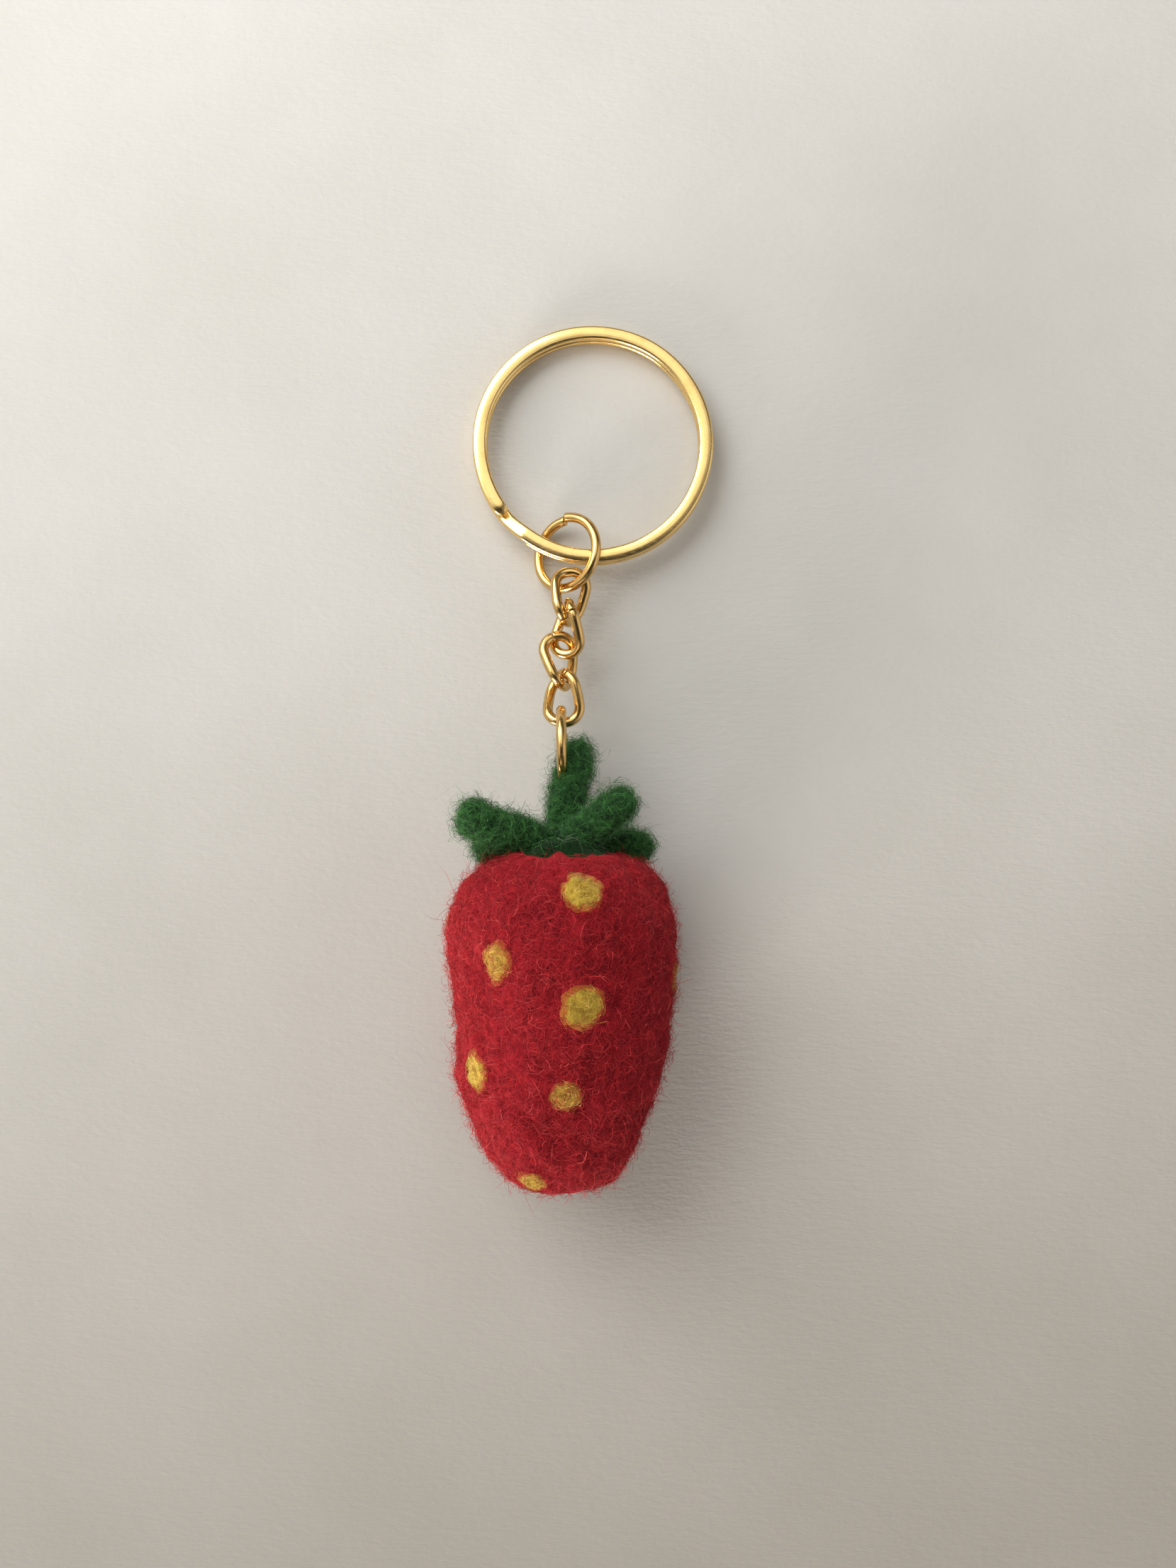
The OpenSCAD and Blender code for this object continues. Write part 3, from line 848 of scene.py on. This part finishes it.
def green_fibres():
    rng = np.random.default_rng(31)
    lying, loose = [], []
    for surf, count in [(STEM, STEM_COUNT)] + [(leaf, LEAF_COUNT) for leaf in LEAVES]:
        a, t = rng.uniform(0, TAU, count), rng.uniform(0.05, 0.99, count)
        lying.append(grow(surf, surf.inside, a, t, LOBE_STEPS, rng.uniform(0.7, 2.2, count), 5, rng,
                          rng.uniform(0.02, 0.22, count), rng.uniform(0, 0.12, count), 0.8))
        n = int(count * LOOSE_SHARE)
        a, t = rng.uniform(0, TAU, n), rng.uniform(0.05, 0.99, n) ** 0.8
        loose.append(grow(surf, surf.inside, a, t, LOBE_STEPS, rng.uniform(0.7, 2.6, n), 6, rng,
                          rng.gamma(1.5, 0.17, n), rng.gamma(2.0, 0.30, n), 1.4))
    n = CAP_COUNT
    a, r = rng.uniform(0, TAU, n), np.sqrt(rng.uniform(0.02, 1.0, n))
    lying.append(grow(cap, cap_inside, a, r, CAP_STEPS, rng.uniform(0.8, 2.4, n), 5, rng,
                      rng.uniform(0.02, 0.3, n), rng.uniform(0, 0.4, n), 0.9))
    ribbons("green_fibres_lying", lying, 0.036, rng, GREEN_FIBRE)
    ribbons("green_fibres_loose", loose, 0.029, rng, GREEN_FIBRE)
    # a few pale strays on the side of the cap that is seen
    n = PALE_COUNT
    a, r = rng.uniform(0.2, math.pi - 0.2, n), rng.uniform(0.3, 1.0, n)
    pale = grow(cap, cap_inside, a, r, CAP_STEPS, rng.uniform(1.5, 4.5, n), 7, rng,
                rng.uniform(0.1, 0.5, n), rng.uniform(0, 0.6, n), 0.6)
    ribbons("pale_fibres", pale, 0.026, rng, PALE_FIBRE)


lobe_mesh("stem_felt", STEM, "stem", rows=90)
for i, leaf in enumerate(LEAVES, 1):
    lobe_mesh(f"leaf_{i}_felt", leaf, f"leaf_{i}")
cap_mesh()
green_fibres()


# ------------------------------------------------------------------ floor, light, camera
FLOOR_HALF = 1.5
CAMERA_AT, CAMERA_LENS = (0.2, -3.8, 136), 29.6
EXPOSURE = 0.30
# what the room glows with, each one a direction, the angles where it starts and stops fading,
# and a colour: a bright ceiling beyond the ring, a window to the left, warm light beyond the tip,
# paler light to the right, and the dark of what is held over the table to look down at it
GLOWS = (((-0.08, 0.50, 0.86), 12, 36, (2.7, 2.62, 2.45)),
         ((-0.85, 0.10, 0.50), 8, 40, (1.7, 1.65, 1.55)),
         ((-0.30, -0.88, 0.26), 8, 38, (3.0, 2.5, 2.1)),
         ((0.90, -0.10, 0.36), 8, 42, (1.7, 1.62, 1.52)),
         ((0.03, -0.27, 0.96), 10, 27, (0.07, 0.065, 0.06)))


def paper_material():
    """Pale paper with faint blotches and a woven tooth. Its colour carries painted light and shade:
    brightest in a band a little beyond the ring, falling off to the corner beyond the tip on the right,
    and darker again far beyond the ring.
    """
    m, nt, bsdf, coord = new_material("paper")
    blot = noise(nt, coord, 28.0, 5.0, 0.6).outputs["Fac"]
    tooth = noise(nt, coord, 1500.0, 3.0, 0.6).outputs["Fac"]
    colour = mix(nt, ramp(nt, blot, [(0.35, 0), (0.7, 1)]), (0.70, 0.69, 0.665), (0.76, 0.75, 0.735))
    # painted light and shade on the paper's colour: a bright band beyond the ring, darker towards the
    # tip and to the right
    part = nt.nodes.new("ShaderNodeSeparateXYZ")
    nt.links.new(coord, part.inputs[0])
    fall = maths(nt, "SUBTRACT", maths(nt, "MULTIPLY", part.outputs["X"], 1.4),
                 maths(nt, "MULTIPLY", part.outputs["Y"], 5.2))
    place = maths(nt, "ADD", maths(nt, "MULTIPLY", fall, 0.5), 0.5)
    painted_light_falloff = ramp(nt, place, [(0.05, (0.50, 0.49, 0.48)), (0.25, (0.88, 0.885, 0.885)),
                            (0.5, (0.74, 0.74, 0.73)), (0.75, (0.53, 0.51, 0.48))])
    nt.links.new(mix(nt, 1.0, colour, painted_light_falloff, "MULTIPLY"), bsdf.inputs["Base Color"])
    weave = [streaks(nt, coord, (0, 0, turn), (480, 1900, 1), 2.0, 0.6) for turn in (0.12, 1.69)]
    height = maths(nt, "ADD", maths(nt, "MAXIMUM", *weave), maths(nt, "MULTIPLY", tooth, 0.6))
    bump(nt, bsdf, height, 0.32, 0.00016)
    settings(bsdf, Roughness=0.95, Specular_IOR_Level=0.1)
    return m


def floor():
    e = FLOOR_HALF
    me = bpy.data.meshes.new("paper_floor")
    me.from_pydata([(-e, -e, 0), (e, -e, 0), (e, e, 0), (-e, e, 0)], [], [(0, 1, 2, 3)])
    me.materials.append(paper_material())
    add_object("paper_floor", me)


def lamp(name, kind, shines, energy, colour):
    """A light that shines along a direction."""
    li = bpy.data.lights.new(name, kind)
    li.energy = energy
    li.color = colour
    ob = add_object(name, li)
    ob.rotation_euler = Vector(shines).to_track_quat("-Z", "Y").to_euler()
    return ob


def window_light():
    """A large soft window beyond the ring, to the left."""
    at, aim = np.array((-0.22, 0.24, 0.24)), np.array((0, 0, 0.01))
    ob = lamp("key", "AREA", aim - at, 1.3, (1.0, 0.99, 0.96))
    ob.location = at
    ob.data.shape = "RECTANGLE"
    ob.data.size, ob.data.size_y = 0.34, 0.34


def low_light():
    """Warm light from low down beyond the tip, the same all over the table."""
    ob = lamp("low", "SUN", (0.55, 0.82, -0.06), 4.6, (1.0, 0.92, 0.84))
    ob.data.angle = math.radians(28)


def glow(nt, direction, towards, inner, outer):
    """1 inside a cone of the sky round a direction, fading to 0 outside it."""
    d = nt.nodes.new("ShaderNodeVectorMath")
    d.operation = "DOT_PRODUCT"
    nt.links.new(direction, d.inputs[0])
    v = np.array(towards, float)
    d.inputs[1].default_value = tuple(v / np.linalg.norm(v))
    r = nt.nodes.new("ShaderNodeMapRange")
    r.interpolation_type = "SMOOTHERSTEP"
    nt.links.new(d.outputs["Value"], r.inputs["Value"])
    r.inputs["From Min"].default_value = math.cos(math.radians(outer))
    r.inputs["From Max"].default_value = math.cos(math.radians(inner))
    return r.outputs["Result"]


def room():
    w = bpy.data.worlds.new("room")
    bpy.context.scene.world = w
    w.use_nodes = True
    nt = w.node_tree
    way = nt.nodes.new("ShaderNodeTexCoord").outputs["Generated"]
    colour = mix(nt, glow(nt, way, (0, 0, -1), 60, 100), (0.30, 0.295, 0.285), (0.36, 0.33, 0.29))
    for towards, inner, outer, light in GLOWS:
        colour = mix(nt, glow(nt, way, towards, inner, outer), colour, light)
    background = nt.nodes["Background"]
    nt.links.new(colour, background.inputs["Color"])
    background.inputs["Strength"].default_value = 0.40


def camera():
    cam = bpy.data.cameras.new("camera")
    cam.sensor_width = 36.0
    cam.lens = CAMERA_LENS
    cam.clip_start, cam.clip_end = 0.002, 10.0
    ob = add_object("camera", cam)
    ob.location = np.array(CAMERA_AT) * MM
    # unturned, it looks straight down
    ob.rotation_euler = (0, 0, 0)
    bpy.context.scene.camera = ob


floor()
room()
low_light()
window_light()
camera()
bpy.context.scene.view_settings.view_transform = "Standard"
bpy.context.scene.view_settings.exposure = EXPOSURE
